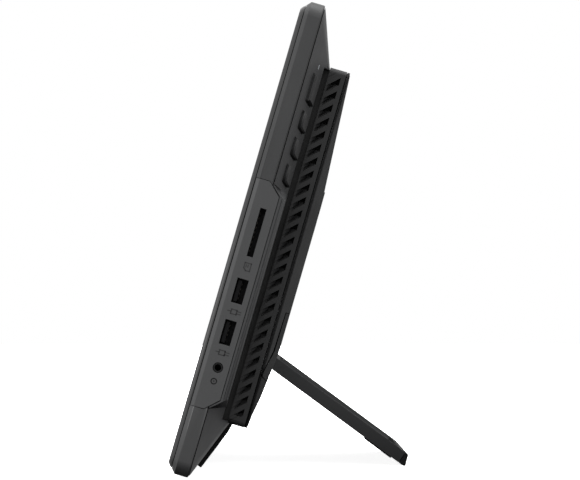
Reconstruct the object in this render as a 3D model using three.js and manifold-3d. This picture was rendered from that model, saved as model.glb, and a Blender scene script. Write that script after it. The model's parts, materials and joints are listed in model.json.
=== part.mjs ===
// All-in-one computer on a fold-out kickstand.
//
// The screen slab is built upright in "screen axes" and then leaned back as one group:
//   x  to the right, seen from the front
//   v  depth, 0 at the front glass and growing towards the back   (three.js y)
//   u  height along the screen, 0 at its bottom edge              (three.js z)
// "Inset" is the distance in from the slab's outline, seen from the front. Millimetres, +Z up.

import * as THREE from 'three';
import { mergeVertices } from 'three/addons/utils/BufferGeometryUtils.js';
import Module from 'manifold-3d';

const wasm = await Module();
wasm.setup();

// ---------------------------------------------------------------- driving dimensions

const LEAN = 16.2;                  // degrees the screen leans back
const WIDTH = 410;
const HEIGHT = 251.5;
const SIDE = WIDTH / 2;
const GAP = 0.3;                    // clearance between neighbouring pieces
const DESK = 3.2;                   // desk below the slab's front bottom edge

const GLASS = { inset: 5.6, radius: 3.5, thick: 1.1 };
const BEZEL = { frontInset: 4.8, bend: { depth: 0.9, inset: 3.5 }, backInset: 2.4, depth: 2.2, ledge: 9 };
const DISPLAY = { side: 9.5, low: 9.6, top: 14.1, front: 1.5, back: 6 };
const WEBCAM = { drop: 11.1, half: 22, tall: 3.3, front: 1.6, back: 5.4, lens: 1.5 };
const CHASSIS = { inset: 5.1, front: 6.4, back: 7.4, holes: [-130, -50, 50, 130] };
const FRAME = { front: 2.5, flat: 4.6, tuck: 11.2, back: 11.8, wall: 4.6, radius: 8 };
const SHELL = { front: 12.2, back: 24.2, rim: 1, slope: 21.2, wall: 2, rimWidth: 5 };
const WINDOW = { x: 168, low: 42, high: 214 };
const TROUGH = { outer: 183.7, inner: 174, floor: 17, wall: 1.6, low: 33, high: 222 };
const POD = { inner: 22.5, low: 37.1, high: 155.9, slant: 0.915, flare: 0.23 };
const POD_BACK = [[0, 18.9], [0.35, 19.1], [1.2, 19.8], [2.8, 20.2], [POD.inner, 20.2]];
const POD_LINE = { front: 18.15, back: 18.5, low: 43.2, high: 149.8, deep: 0.6 };
const PANEL = { front: 2.7, back: 16.6, bend: 9.9, low: 36.4, high: 156.6, chamfer: 6.3, thick: 2.4 };

const BLOCK = { x: 177, low: 31.5, high: 224, radius: 3, front: 23, back: 32, wall: 2.4 };
const FLANGE = { x: 172.6, front: 24.5, back: 26.5, low: 43, high: 213 };
const VENT = {
  count: 26, pitch: 7.155, top: 220, tall: 4.4, drop: 5.6, front: 23.7, back: 29.7,
  throat: { wide: 3.9, tall: 3.5, tip: 0.5, taper: 0.45 },
};
const VENT_WINDOW = { low: 36.5, high: 220.6 };
const DUST_SCREEN = { near: 173.3, far: 174.2, front: 24.6, back: 31.5, low: 35, high: 220.3 };

const COVER = { neck: 32.3, rim: 33.4, edge: 33.9, top: 38.3, wall: 2.2, side: 5.2, bevel: 12 };
const STEP = { x: 170, face: 31.6 };
const POCKET = { x: 85.8, wall: 2, floor: 30.2, top: 162.8, base: 62.4, mouth: 95.3 };
const INTAKE = { slots: 11, pitch: 7.2, x: 115, u: 186, tall: 26, lean: 9, width: 3 };

const PIVOT = { v: 34.5, u: 67 };
const LEG = { x: 85, open: 20.1, under: 2.9, over: 3.8, end: 90.6, tip: 94.9, slant: 2.3 };
const LEG_POCKET = {
  columns: [-56, 0, 56], rows: [12, 48], wide: 49, tall: 32,
  floor: 0.4, ribTop: 0.9, rim: 3.2, from: 4.6, to: 88,
};
const LEG_PAD = { x: 74, from: 68.6, to: 86.5, proud: 0.9, sink: 0.6 };
const PIN = { radius: 1.6, clear: 1.95, bore: 1.9, from: 71, to: 96 };
const BRACKET = { root: 24.8, low: 60, bend: 76, high: 104, thick: 2, near: 88.4, far: 96 };

const KEY = { depth: 13.8, wide: 7.6, raise: 1.9, chamfer: 0.7, slant: 1.1, clear: 0.5, stem: 2.8 };
const KEY_FLANGE = { grow: 0.9, back: 2.9, front: 2.3 };
const KEYS = [
  { name: 'power_button', u: 208.3, tall: 14 },
  { name: 'menu_button', u: 191.2, tall: 8.7 },
  { name: 'volume_up_button', u: 176.9, tall: 8.7 },
  { name: 'volume_down_button', u: 162.4, tall: 8.7 },
];

const FAN = { x: 115, u: 172, radius: 36, front: 18.8, back: 28, wall: 1.1, outlet: 156.6 };

// ---------------------------------------------------------------- finishes

const finish = (color, roughness, metalness = 0) =>
  new THREE.MeshStandardMaterial({ color, roughness, metalness });

const CHARCOAL = finish(0x2c2d2e, 0.55);
const DARK = finish(0x1f2021, 0.6);
const BLACK_GLOSS = finish(0x08090a, 0.12);
const RUBBER = finish(0x121212, 0.9);
const STEEL = finish(0xa9acb0, 0.35, 1);
const COPPER = finish(0xb4703c, 0.3, 1);
const ALUMINIUM = finish(0xc5c8cc, 0.35, 1);
const BOARD = finish(0x1d4a2c, 0.5);
const BLACK_PLASTIC = finish(0x151617, 0.5);
const LIGHT_PIPE = finish(0xe8ecef, 0.3);

// ---------------------------------------------------------------- solids

/** A closed three.js geometry as a solid that can be joined and cut. */
function toSolid(shape) {
  if (shape instanceof wasm.Manifold) return shape;
  const bare = shape.clone();
  bare.deleteAttribute('normal');
  bare.deleteAttribute('uv');
  const merged = mergeVertices(bare, 1e-5);
  return new wasm.Manifold(new wasm.Mesh({
    numProp: 3,
    vertProperties: new Float32Array(merged.attributes.position.array),
    triVerts: new Uint32Array(merged.index.array),
  }));
}

function toGeometry(solid) {
  const mesh = solid.getMesh();
  const geometry = new THREE.BufferGeometry();
  geometry.setAttribute('position', new THREE.BufferAttribute(mesh.vertProperties, 3));
  geometry.setIndex(new THREE.BufferAttribute(mesh.triVerts, 1));
  geometry.computeVertexNormals();
  return geometry;
}

const join = (...shapes) => shapes.map(toSolid).reduce((sum, next) => sum.add(next));
const cut = (base, ...tools) =>
  tools.map(toSolid).reduce((rest, tool) => rest.subtract(tool), toSolid(base));
const common = (a, b) => toSolid(a).intersect(toSolid(b));

/** Where an outline's two axes and its level lie in screen axes. */
const TO_AXES = {
  x: (a, b, level) => [level, a, b],    // outline in (v, u), level along x
  v: (a, b, level) => [a, level, b],    // outline in (x, u), level along v
  u: (a, b, level) => [a, b, level],    // outline in (x, v), level along u
};

/** A closed solid through outlines with equally many points, one at each level of an axis. */
function loft(axis, sections) {
  const levels = [...sections].sort((a, b) => a.level - b.level);
  const corners = (outline) => outline.map(([a, b]) => new THREE.Vector2(a, b));
  const backwards = THREE.ShapeUtils.isClockWise(corners(levels[0].outline));
  const outlines = levels.map(({ outline }) => (backwards ? [...outline].reverse() : outline));
  const positions = outlines.flatMap((outline, i) =>
    outline.flatMap(([a, b]) => TO_AXES[axis](a, b, levels[i].level)));
  const count = outlines[0].length;
  const last = (outlines.length - 1) * count;
  const index = [];
  // (x, u, v) is a left-handed set of axes, so there the corners go round the other way.
  const face = (a, b, c) => index.push(a, ...(axis === 'v' ? [c, b] : [b, c]));
  for (const [a, b, c] of THREE.ShapeUtils.triangulateShape(corners(outlines[0]), [])) {
    face(a, c, b);
    face(last + a, last + b, last + c);
  }
  for (let ring = 0; ring < last; ring += count) {
    for (let i = 0; i < count; i += 1) {
      const next = (i + 1) % count;
      face(ring + i, ring + next, ring + count + next);
      face(ring + i, ring + count + next, ring + count + i);
    }
  }
  const geometry = new THREE.BufferGeometry();
  geometry.setAttribute('position', new THREE.Float32BufferAttribute(positions, 3));
  geometry.setIndex(index);
  return geometry;
}

/** An outline pulled straight along one axis. */
function extrude(axis, outline, from, to) {
  const shape = new THREE.Shape(outline.map(([a, b]) => new THREE.Vector2(a, b)));
  const geometry = new THREE.ExtrudeGeometry(shape, { depth: to - from, bevelEnabled: false });
  const turn = new THREE.Matrix4();
  if (axis === 'x') turn.set(0, 0, 1, from, 1, 0, 0, 0, 0, 1, 0, 0, 0, 0, 0, 1);
  if (axis === 'v') turn.set(1, 0, 0, 0, 0, 0, -1, to, 0, 1, 0, 0, 0, 0, 0, 1);
  if (axis === 'u') turn.makeTranslation(0, 0, from);
  return geometry.applyMatrix4(turn);
}

function block(x0, x1, v0, v1, u0, u1) {
  const geometry = new THREE.BoxGeometry(Math.abs(x1 - x0), v1 - v0, u1 - u0);
  return geometry.translate((x0 + x1) / 2, (v0 + v1) / 2, (u0 + u1) / 2);
}

/** A round rod along one axis; its centre is given by the other two coordinates. */
function rod(axis, a, b, radius, from, to, sides = 20) {
  const geometry = new THREE.CylinderGeometry(radius, radius, to - from, sides);
  if (axis === 'x') geometry.rotateZ(-Math.PI / 2);
  if (axis === 'u') geometry.rotateX(Math.PI / 2);
  const [x, v, u] = TO_AXES[axis](a, b, (from + to) / 2);
  return geometry.translate(x, v, u);
}

// ---------------------------------------------------------------- outlines

function arc(a, b, radius, start, end, steps) {
  return Array.from({ length: steps + 1 }, (_, i) => {
    const angle = THREE.MathUtils.degToRad(start + ((end - start) * i) / steps);
    return [a + radius * Math.cos(angle), b + radius * Math.sin(angle)];
  });
}

function roundedRect(a0, a1, b0, b1, radius, steps = 6) {
  return [
    ...arc(a1 - radius, b0 + radius, radius, -90, 0, steps),
    ...arc(a1 - radius, b1 - radius, radius, 0, 90, steps),
    ...arc(a0 + radius, b1 - radius, radius, 90, 180, steps),
    ...arc(a0 + radius, b0 + radius, radius, 180, 270, steps),
  ];
}

/** The slab's outline seen from the front, pulled in by an inset. */
const slabOutline = (inset, radius) =>
  roundedRect(inset - SIDE, SIDE - inset, inset, HEIGHT - inset, radius);

const slabRing = (level, inset, radius) => ({ level, outline: slabOutline(inset, radius) });

const blockOutline = (inset, radius) =>
  roundedRect(inset - BLOCK.x, BLOCK.x - inset, BLOCK.low + inset, BLOCK.high - inset, radius);

/** The port panel's outline in (v, u), grown by a clearance. */
function panelOutline(grow) {
  const low = PANEL.low - grow;
  const high = PANEL.high + grow;
  const back = PANEL.back + grow;
  return [
    [PANEL.front - grow, low], [PANEL.bend, low], [back, low + PANEL.chamfer],
    [back, high - PANEL.chamfer], [PANEL.bend, high], [PANEL.front - grow, high],
  ];
}

/** A ribbon of one width along a curve in (x, u). */
function ribbon(points, width, steps = 18) {
  const curve = new THREE.CatmullRomCurve3(points.map(([x, u]) => new THREE.Vector3(x, u, 0)));
  const left = [];
  const right = [];
  for (let i = 0; i <= steps; i += 1) {
    const at = curve.getPointAt(i / steps);
    const along = curve.getTangentAt(i / steps);
    left.push([at.x - (along.y * width) / 2, at.y + (along.x * width) / 2]);
    right.unshift([at.x + (along.y * width) / 2, at.y - (along.x * width) / 2]);
  }
  return [...left, ...right];
}

// ---------------------------------------------------------------- the rear bevel

const SLOPE = THREE.MathUtils.degToRad(SHELL.slope);

/** Depth of the rear bevel's surface at a distance in from the outline. */
const bevelDepth = (inset) => SHELL.front + (inset - SHELL.rim) * Math.tan(SLOPE);
const bevelInset = (depth) => SHELL.rim + (depth - SHELL.front) / Math.tan(SLOPE);

/** A group on the right-hand rear bevel: x runs outwards along it, y out of it, z up the screen. */
function bevelGroup(inset, u) {
  const group = new THREE.Group();
  group.position.set(SIDE - inset, bevelDepth(inset), u);
  group.rotation.z = -SLOPE;
  group.updateMatrix();
  return group;
}

/** A point on the bottom bevel, at a distance in from the outline and a height above it. */
const bottomBevelPoint = (inset, height) => [
  bevelDepth(inset) + height * Math.cos(SLOPE),
  inset - height * Math.sin(SLOPE),
];

// ---------------------------------------------------------------- assembly helpers

const device = new THREE.Group();
device.rotation.x = THREE.MathUtils.degToRad(-LEAN);

function addPart(name, shape, material, parent = device) {
  const geometry = shape instanceof wasm.Manifold ? toGeometry(shape) : shape;
  const mesh = new THREE.Mesh(geometry, material);
  mesh.name = name;
  parent.add(mesh);
  return mesh;
}

/** Runs a builder for the right-hand side (+1) and the left-hand side (-1). */
function bothSides(build) {
  build('right', 1);
  build('left', -1);
}

/** A block given by distances from the centre plane, on one side. */
const sideBlock = (side, near, far, ...rest) => block(side * near, side * far, ...rest);

const alongX = (side, near, far) => (side > 0 ? [near, far] : [-far, -near]);
const sideExtrude = (side, outline, near, far) => extrude('x', outline, ...alongX(side, near, far));
const sideRod = (side, v, u, radius, near, far, sides) =>
  rod('x', v, u, radius, ...alongX(side, near, far), sides);

// ---------------------------------------------------------------- screen slab

function addScreen() {
  addPart('cover_glass', extrude('v', slabOutline(GLASS.inset, GLASS.radius), 0, GLASS.thick), BLACK_GLOSS);

  const bezel = loft('v', [
    slabRing(0, BEZEL.frontInset, 4.6),
    slabRing(BEZEL.bend.depth, BEZEL.bend.inset, 5.6),
    slabRing(BEZEL.depth, BEZEL.backInset, 6.6),
  ]);
  const glassSeat = extrude('v', slabOutline(GLASS.inset - GAP, GLASS.radius + GAP), -1, GLASS.thick + GAP);
  const opening = extrude('v', slabOutline(BEZEL.ledge, 2), 0, BEZEL.depth + 1);
  addPart('front_bezel', cut(bezel, glassSeat, opening), BLACK_GLOSS);

  const { side, low, top } = DISPLAY;
  const active = roundedRect(side - SIDE, SIDE - side, low, HEIGHT - top, 1, 1);
  addPart('display_panel', extrude('v', active, DISPLAY.front, DISPLAY.back), DARK);

  const { drop, half, tall, front, back, lens } = WEBCAM;
  const lensHeight = HEIGHT - drop;
  const bar = block(-half, half, front, back, lensHeight - tall / 2, lensHeight + tall / 2);
  const barrel = rod('v', 0, lensHeight, lens, front - 0.2, front + 0.4, 16);
  addPart('webcam_module', join(bar, barrel), BLACK_PLASTIC);

  const plate = extrude('v', slabOutline(CHASSIS.inset, 3), CHASSIS.front, CHASSIS.back);
  const lightening = CHASSIS.holes.map((x) =>
    extrude('v', roundedRect(x - 28, x + 28, 180, 225, 6, 3), CHASSIS.front - 1, CHASSIS.back + 1));
  addPart('chassis_plate', cut(plate, ...lightening), STEEL);
}

// ---------------------------------------------------------------- frame around the slab

/** The slab's side from the front chamfer back to a given depth. */
const slabSide = (back) => loft('v', [
  slabRing(FRAME.front, 2.2, 6.7),
  slabRing(FRAME.flat, 0, FRAME.radius),
  slabRing(back, 0, FRAME.radius),
]);

const PORT_BAY = { front: 7.2, back: 17.6, low: 46, high: 148 };
const SPEAKER_SLOT = { count: 9, x: 108, pitch: 6, long: 3.2, front: 7.7, back: 8.9 };
const EDGE_FOOT = { x: 170, front: 9.6, back: 11.5, top: 1.2 };

/** Height on the screen axis at which a given depth touches the desk. */
function deskHeight(v) {
  const lean = THREE.MathUtils.degToRad(LEAN);
  return (v * Math.sin(lean) - DESK) / Math.cos(lean);
}

function addFrame() {
  const outside = loft('v', [
    slabRing(FRAME.front, 2.2, 6.7),
    slabRing(FRAME.flat, 0, FRAME.radius),
    slabRing(FRAME.tuck, 0, FRAME.radius),
    slabRing(FRAME.back, 0.3, 7.7),
  ]);
  const cuts = [extrude('v', slabOutline(FRAME.wall, 4), 0, 20)];
  for (const side of [1, -1]) {
    cuts.push(sideExtrude(side, panelOutline(GAP), SIDE - PANEL.thick - GAP, SIDE + 2));
    cuts.push(sideBlock(side, 196, 204, PORT_BAY.front, 13, PORT_BAY.low, PORT_BAY.high));
    for (let i = 0; i < SPEAKER_SLOT.count; i += 1) {
      const x = side * (SPEAKER_SLOT.x + i * SPEAKER_SLOT.pitch);
      const half = SPEAKER_SLOT.long / 2;
      cuts.push(block(x - half, x + half, SPEAKER_SLOT.front, SPEAKER_SLOT.back, -1, FRAME.wall + 1));
    }
  }
  const { x, front, back, top } = EDGE_FOOT;
  cuts.push(block(-x - GAP, x + GAP, front - GAP, 13, -1, top + GAP));
  addPart('mid_frame', cut(outside, ...cuts), CHARCOAL);

  const footOutline = [[front, top], [front, deskHeight(front)], [back, deskHeight(back)], [back, top]];
  addPart('bottom_edge_foot', extrude('x', footOutline, -x, x), RUBBER);
}

// ---------------------------------------------------------------- rear shell with its side pods

/** The pod is the swelling over the ports: one (v, u) section at a distance in from the side. */
function podSection(inset, back, side) {
  const flare = POD.flare * inset;
  const low = (v) => POD.low + POD.slant * (v - SHELL.front) - flare;
  const high = (v) => POD.high - POD.slant * (v - SHELL.front) + flare;
  const outline = [
    [SHELL.front, low(SHELL.front)], [back, low(back)],
    [back, high(back)], [SHELL.front, high(SHELL.front)],
  ];
  return { level: side * (SIDE - inset), outline };
}

/** POD_BACK gives its depth at each distance in from the side, which rounds its outer edge. */
const pod = (side) => loft('x', POD_BACK.map(([inset, back]) => podSection(inset, back, side)));

const shellOutside = () => loft('v', [
  slabRing(SHELL.front, SHELL.rim, 7),
  slabRing(SHELL.back, bevelInset(SHELL.back), 3),
]);

function keyOutline(tall, grow, side = KEY.wide / 2) {
  const half = tall / 2 + grow;
  const reach = side + grow;
  const shift = (KEY.slant * reach) / side;
  return [
    [-reach, -half - shift], [reach, -half + shift], [reach, half + shift], [-reach, half - shift],
  ];
}

/** A key's outline is drawn in (x, z) of its bevel group and pulled along y. */
const keySolid = (tall, grow, from, to) => extrude('v', keyOutline(tall, grow), from, to);

const LED = { inset: 14.1, u: 220.9, wide: 0.5, tall: 2.4, proud: 0.1, stem: 2.6, flange: 1.2, end: 3.2 };
const BEVEL_PAD = { x: 170, low: 5.9, high: 28, sink: 1, proud: 2.3 };

function bevelPadOutline(grow) {
  const { low, high, sink, proud } = BEVEL_PAD;
  return [
    bottomBevelPoint(low - grow, -sink - grow), bottomBevelPoint(low - grow, proud + grow),
    bottomBevelPoint(high + grow, proud + grow), bottomBevelPoint(high + grow, -sink - grow),
  ];
}

/** The power light's slit, grown by a clearance, between two depths in its bevel group. */
const ledBlock = (grow, from, to) => block(
  -LED.wide / 2 - grow, LED.wide / 2 + grow, from, to, -LED.tall / 2 - grow, LED.tall / 2 + grow);

function addRearShell() {
  const wallDepth = SHELL.wall / Math.cos(SLOPE);
  const inside = loft('v', [
    slabRing(bevelDepth(SHELL.rim + SHELL.rimWidth) - wallDepth, SHELL.rim + SHELL.rimWidth, 4),
    slabRing(SHELL.back - wallDepth, bevelInset(SHELL.back), 3),
  ]);
  const channel = (side) => sideBlock(side, TROUGH.inner - TROUGH.wall, TROUGH.outer + TROUGH.wall,
    TROUGH.floor - TROUGH.wall, 30, TROUGH.low - 3, TROUGH.high + 3);
  const hollow = cut(inside, channel(1), channel(-1));
  const cuts = [hollow, block(-WINDOW.x, WINDOW.x, 10, 30, WINDOW.low, WINDOW.high)];
  for (const side of [1, -1]) {
    const { inner, outer, floor, low, high } = TROUGH;
    cuts.push(sideBlock(side, inner, outer, floor, 30, low, high));
    cuts.push(sideBlock(side, outer + TROUGH.wall, SIDE - PANEL.thick - GAP, 11, PORT_BAY.back,
      PORT_BAY.low, PORT_BAY.high));
    cuts.push(sideExtrude(side, panelOutline(GAP), SIDE - PANEL.thick - GAP, SIDE + 2));
    cuts.push(sideBlock(side, SIDE - POD_LINE.deep, SIDE + 1, POD_LINE.front, POD_LINE.back,
      POD_LINE.low, POD_LINE.high));
  }
  for (const { u, tall } of KEYS) {
    const place = bevelGroup(KEY.depth, u).matrix;
    cuts.push(keySolid(tall, KEY.clear, -6, 4).applyMatrix4(place));
  }
  cuts.push(ledBlock(GAP, -5, 3).applyMatrix4(bevelGroup(LED.inset, LED.u).matrix));
  cuts.push(extrude('x', bevelPadOutline(GAP), -BEVEL_PAD.x - GAP, BEVEL_PAD.x + GAP));
  addPart('rear_shell', cut(join(shellOutside(), pod(1), pod(-1)), ...cuts), CHARCOAL);

  addPart('bottom_bevel_pad', extrude('x', bevelPadOutline(0), -BEVEL_PAD.x, BEVEL_PAD.x), RUBBER);
  const led = join(ledBlock(0, -LED.stem, LED.proud), ledBlock(LED.flange, -LED.end, 0.1 - LED.stem));
  const ledGroup = bevelGroup(LED.inset, LED.u);
  addPart('power_led', led, LIGHT_PIPE, ledGroup);
  device.add(ledGroup);
}

// ---------------------------------------------------------------- keys on the bevel

function addKeys() {
  for (const { name, u, tall } of KEYS) {
    const { raise, chamfer, wide } = KEY;
    const cap = loft('v', [
      { level: -KEY.stem, outline: keyOutline(tall, 0) },
      { level: raise - chamfer, outline: keyOutline(tall, 0) },
      { level: raise, outline: keyOutline(tall - 2 * chamfer, 0, wide / 2 - chamfer) },
    ]);
    const flange = keySolid(tall, KEY_FLANGE.grow, -KEY_FLANGE.back, -KEY_FLANGE.front);
    const group = bevelGroup(KEY.depth, u);
    addPart(name, join(cap, flange), DARK, group);
    device.add(group);
  }
}

// ---------------------------------------------------------------- port panels and sockets

const CONNECTOR = { back: 188, front: SIDE - PANEL.thick - GAP, cap: 1.5 };
const USB_SHELL = { wall: 0.35, tongueGap: 0.75, tongue: 2.6, tongueEnd: 0.9 };
const SLOT_SHELL = { wall: 0.4, tongue: 1.4, tongueEnd: 2 };
const ROUND_SHELL = { halfDepth: 3, halfTall: 3.4, pin: 0.9, clear: 0.35 };
const IO_BOARD = { near: 186.4, far: 200, front: 14.4, back: 15.6, low: 47, right: 147, left: 122 };

const USB = { front: 7.85, back: 13.65, tall: 12.8 };
const SD = { front: 9.1, back: 12.2, low: 117, high: 142.4 };
const JACK = { v: 10.9, u: 58.4, hole: 2.7, bore: 1.75 };
const USB_RIGHT = [{ name: 'usb_socket_upper', u: 98.7 }, { name: 'usb_socket_lower', u: 76.8 }];
const USB_LEFT = { name: 'usb_socket_left', u: 88 };
const HDMI = { front: 8.6, back: 13.2, low: 104, high: 118.6 };
const LAN = { front: 8, back: 16, low: 126, high: 138 };
const DC_IN = { v: 10.9, u: 56, hole: 3.6, bore: 2.75 };

/** A socket's shell around a mouth: the shell is 0.1 mm inside the panel's own hole. */
function socketShell(side, { front, back, low, high }, wall) {
  const { back: near, front: far, cap } = CONNECTOR;
  return cut(
    sideBlock(side, near, far, front - wall, back + wall, low - wall, high + wall),
    sideBlock(side, near + cap, far + 1, front + 0.1, back - 0.1, low + 0.1, high - 0.1),
  );
}

function addUsbSocket({ name, u }, side) {
  const { wall, tongueGap, tongue, tongueEnd } = USB_SHELL;
  const low = u - USB.tall / 2;
  const high = u + USB.tall / 2;
  const plate = sideBlock(side, CONNECTOR.back + 1, CONNECTOR.front - 1.2,
    USB.front + tongueGap, USB.front + tongue, low + tongueEnd, high - tongueEnd);
  addPart(name, join(socketShell(side, { ...USB, low, high }, wall), plate), STEEL);
}

function addSlotSocket(name, slot, side, material, hasTongue) {
  const { wall, tongue, tongueEnd } = SLOT_SHELL;
  const solids = [socketShell(side, slot, wall)];
  if (hasTongue) {
    const front = (slot.front + slot.back - tongue) / 2;
    solids.push(sideBlock(side, CONNECTOR.back + 1, CONNECTOR.front - 2, front, front + tongue,
      slot.low + tongueEnd, slot.high - tongueEnd));
  }
  addPart(name, join(...solids), material);
}

function addRoundSocket(name, { v, u, hole, bore }, side, hasPin) {
  const { back, front, cap } = CONNECTOR;
  const { halfDepth, halfTall, pin, clear } = ROUND_SHELL;
  const body = sideBlock(side, back, front, v - halfDepth, v + halfDepth, u - halfTall, u + halfTall);
  const collar = sideRod(side, v, u, hole - clear, front - 0.5, front + 2.2, 24);
  const drilled = cut(join(body, collar), sideRod(side, v, u, bore, back + cap, SIDE + 2, 20));
  const solid = hasPin ? join(drilled, sideRod(side, v, u, pin, back + 1, front, 10)) : drilled;
  addPart(name, solid, BLACK_PLASTIC);
}

function addPorts() {
  const panel = (side) => common(
    sideExtrude(side, panelOutline(0), SIDE - PANEL.thick, SIDE + 1), slabSide(PANEL.back + 1));
  const slot = (side, { front, back, low, high }) => sideBlock(side, 200, 208, front, back, low, high);
  const usb = (side, u) => slot(side, { ...USB, low: u - USB.tall / 2, high: u + USB.tall / 2 });
  const round = (side, { v, u, hole }) => sideRod(side, v, u, hole, 200, 208, 24);

  addPart('port_panel_right', cut(panel(1), slot(1, SD), round(1, JACK),
    ...USB_RIGHT.map(({ u }) => usb(1, u))), CHARCOAL);
  addPart('port_panel_left', cut(panel(-1), slot(-1, LAN), slot(-1, HDMI),
    usb(-1, USB_LEFT.u), round(-1, DC_IN)), CHARCOAL);

  USB_RIGHT.forEach((socket) => addUsbSocket(socket, 1));
  addUsbSocket(USB_LEFT, -1);
  addSlotSocket('sd_card_slot', SD, 1, STEEL, false);
  addSlotSocket('hdmi_socket', HDMI, -1, STEEL, true);
  addSlotSocket('lan_socket', LAN, -1, BLACK_PLASTIC, false);
  addRoundSocket('headset_jack', JACK, 1, false);
  addRoundSocket('dc_in_jack', DC_IN, -1, true);
  const { near, far, front, back, low } = IO_BOARD;
  bothSides((name, side) => {
    addPart(`io_board_${name}`, sideBlock(side, near, far, front, back, low, IO_BOARD[name]), BOARD);
  });
}

// ---------------------------------------------------------------- rear housing with its side vents

/** One louvre: a slanted mouth whose floor ramps in, up and back to a wedge-shaped throat. */
function ventCutter(side, i) {
  const { count, pitch, tall, drop, front, back, throat } = VENT;
  const top = VENT.top - i * pitch;
  const scale = 1 - (throat.taper * i) / (count - 1);
  const start = back - throat.wide * scale;
  const fall = (drop * (back - start)) / (back - front);
  const mouth = [[back, top], [back, top - tall], [front, top - drop - tall], [front, top - drop]];
  const hole = [
    [back, top], [back, top - throat.tall * scale],
    [start, top - fall - throat.tip], [start, top - fall],
  ];
  const outer = BLOCK.x + 0.4;
  const inner = BLOCK.x - BLOCK.wall - 0.4;
  return loft('x', [{ level: side * outer, outline: mouth }, { level: side * inner, outline: hole }]);
}

function ventCutters(side) {
  const louvres = Array.from({ length: VENT.count }, (_, i) => ventCutter(side, i));
  const window = sideBlock(side, 160, 190, 20, 40, VENT_WINDOW.low, VENT_WINDOW.high);
  return common(join(...louvres), window);
}

function addRearHousing() {
  const wall = cut(
    extrude('v', blockOutline(0, BLOCK.radius), BLOCK.front, BLOCK.back),
    extrude('v', blockOutline(BLOCK.wall, 1), 10, 40),
    block(-STEP.x - GAP, STEP.x + GAP, STEP.face, 40, 0, HEIGHT),
  );
  const flange = cut(
    block(-FLANGE.x, FLANGE.x, FLANGE.front, FLANGE.back, BLOCK.low + 1, BLOCK.high - 1),
    block(-FLANGE.x - 1, FLANGE.x + 1, 20, 30, FLANGE.low, FLANGE.high),
  );
  const { inner, outer, floor, low, high } = TROUGH;
  const shellBelow = cut(shellOutside(), sideBlock(1, inner, outer, floor, 30, low, high),
    sideBlock(-1, inner, outer, floor, 30, low, high));
  const housing = cut(join(wall, flange), clearAbove(shellBelow), ventCutters(1), ventCutters(-1));
  addPart('rear_housing', housing, CHARCOAL);

  bothSides((name, side) => {
    const { near, far, front, back, low, high } = DUST_SCREEN;
    const screen = sideBlock(side, near, far, front, back, low, high);
    addPart(`dust_screen_${name}`, screen, BLACK_PLASTIC);
  });
}

/** The same solid moved back by the clearance, to cut what sits on it. */
function clearAbove(solid) {
  return toGeometry(solid).translate(0, GAP, 0);
}

// ---------------------------------------------------------------- rear cover

const COVER_PROFILE = [
  [COVER.rim, 34.1], [33.7, 35.6], [35.9, 48.6], [COVER.top, 72.8],
  [COVER.top, 155.7], [COVER.edge, 222.2], [COVER.rim, 222.9],
];
const COVER_INSIDE = [
  [31, 38], [32, 38], [33.4, 49.6], [COVER.top - COVER.wall, 74],
  [COVER.top - COVER.wall, 154.6], [32.3, 218], [31, 218],
];

/** Depth of the cover's outer face at a height, taken from its profile. */
function coverDepth(u) {
  const faces = COVER_PROFILE.slice(1, -1);
  const i = faces.findIndex(([, height]) => height > u);
  const [v0, u0] = faces[i - 1];
  const [v1, u1] = faces[i];
  return v0 + ((v1 - v0) * (u - u0)) / (u1 - u0);
}

/** The cover's section seen from above: flat, with a wide slanted side. */
const coverSection = (x, front, edge, top) => [
  [-x, front], [x, front], [x, edge], [x - COVER.bevel, top], [COVER.bevel - x, top], [-x, edge],
];

const coverOutside = () => common(common(
  extrude('x', COVER_PROFILE, -BLOCK.x, BLOCK.x),
  extrude('u', coverSection(BLOCK.x, COVER.rim, COVER.edge, COVER.top), 0, HEIGHT),
), extrude('v', blockOutline(0, BLOCK.radius), COVER.rim, COVER.top));

const INSIDE_X = BLOCK.x - COVER.side;

const coverInside = () => common(
  extrude('x', COVER_INSIDE, -INSIDE_X, INSIDE_X),
  extrude('u', coverSection(INSIDE_X, 30, COVER.neck, COVER.top - COVER.wall), 0, HEIGHT),
);

/** The hinge cap closes the cover beside the leg; its lower front edge runs on a diagonal. */
function hingeCapOutline(grow) {
  return [
    [36.4 - grow, 94.6 + grow], [40, 94.6 + grow], [40, 55], [32.9 - grow, 60.4 - grow],
    [33.5 - grow, 60.8], [36.2 - 2 * grow, 74],
  ];
}

function intakeCutters() {
  const slots = [];
  for (const side of [-1, 1]) {
    for (let i = 0; i < INTAKE.slots; i += 1) {
      const x = side * INTAKE.x + (i - (INTAKE.slots - 1) / 2) * INTAKE.pitch;
      const low = INTAKE.u - INTAKE.tall / 2;
      const high = INTAKE.u + INTAKE.tall / 2;
      const lean = INTAKE.lean / 2;
      slots.push(extrude('v', [
        [x - lean, low], [x - lean + INTAKE.width, low],
        [x + lean + INTAKE.width, high], [x + lean, high],
      ], 30, 42));
    }
  }
  return slots;
}

const SCREWS = [[-150, 211], [150, 211], [-150, 42.5], [150, 42.5]];
const SCREW = {
  head: 3, headTop: 0.45, headBase: 1.5, shank: 1.3, end: 7, cross: 1.6, slot: 0.35, deep: 1.15,
};

function addCoverScrews() {
  SCREWS.forEach(([x, u], i) => {
    const face = coverDepth(u);
    const head = rod('v', x, u, SCREW.head, face - SCREW.headBase, face - SCREW.headTop, 20);
    const shank = rod('v', x, u, SCREW.shank, face - SCREW.end, face - SCREW.headBase + 0.1, 10);
    const { cross: long, slot, deep } = SCREW;
    const cross = [
      block(x - long, x + long, face - deep, face, u - slot, u + slot),
      block(x - slot, x + slot, face - deep, face, u - long, u + long),
    ];
    addPart(`cover_screw_${i + 1}`, cut(join(head, shank), ...cross), STEEL);
  });
}

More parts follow.
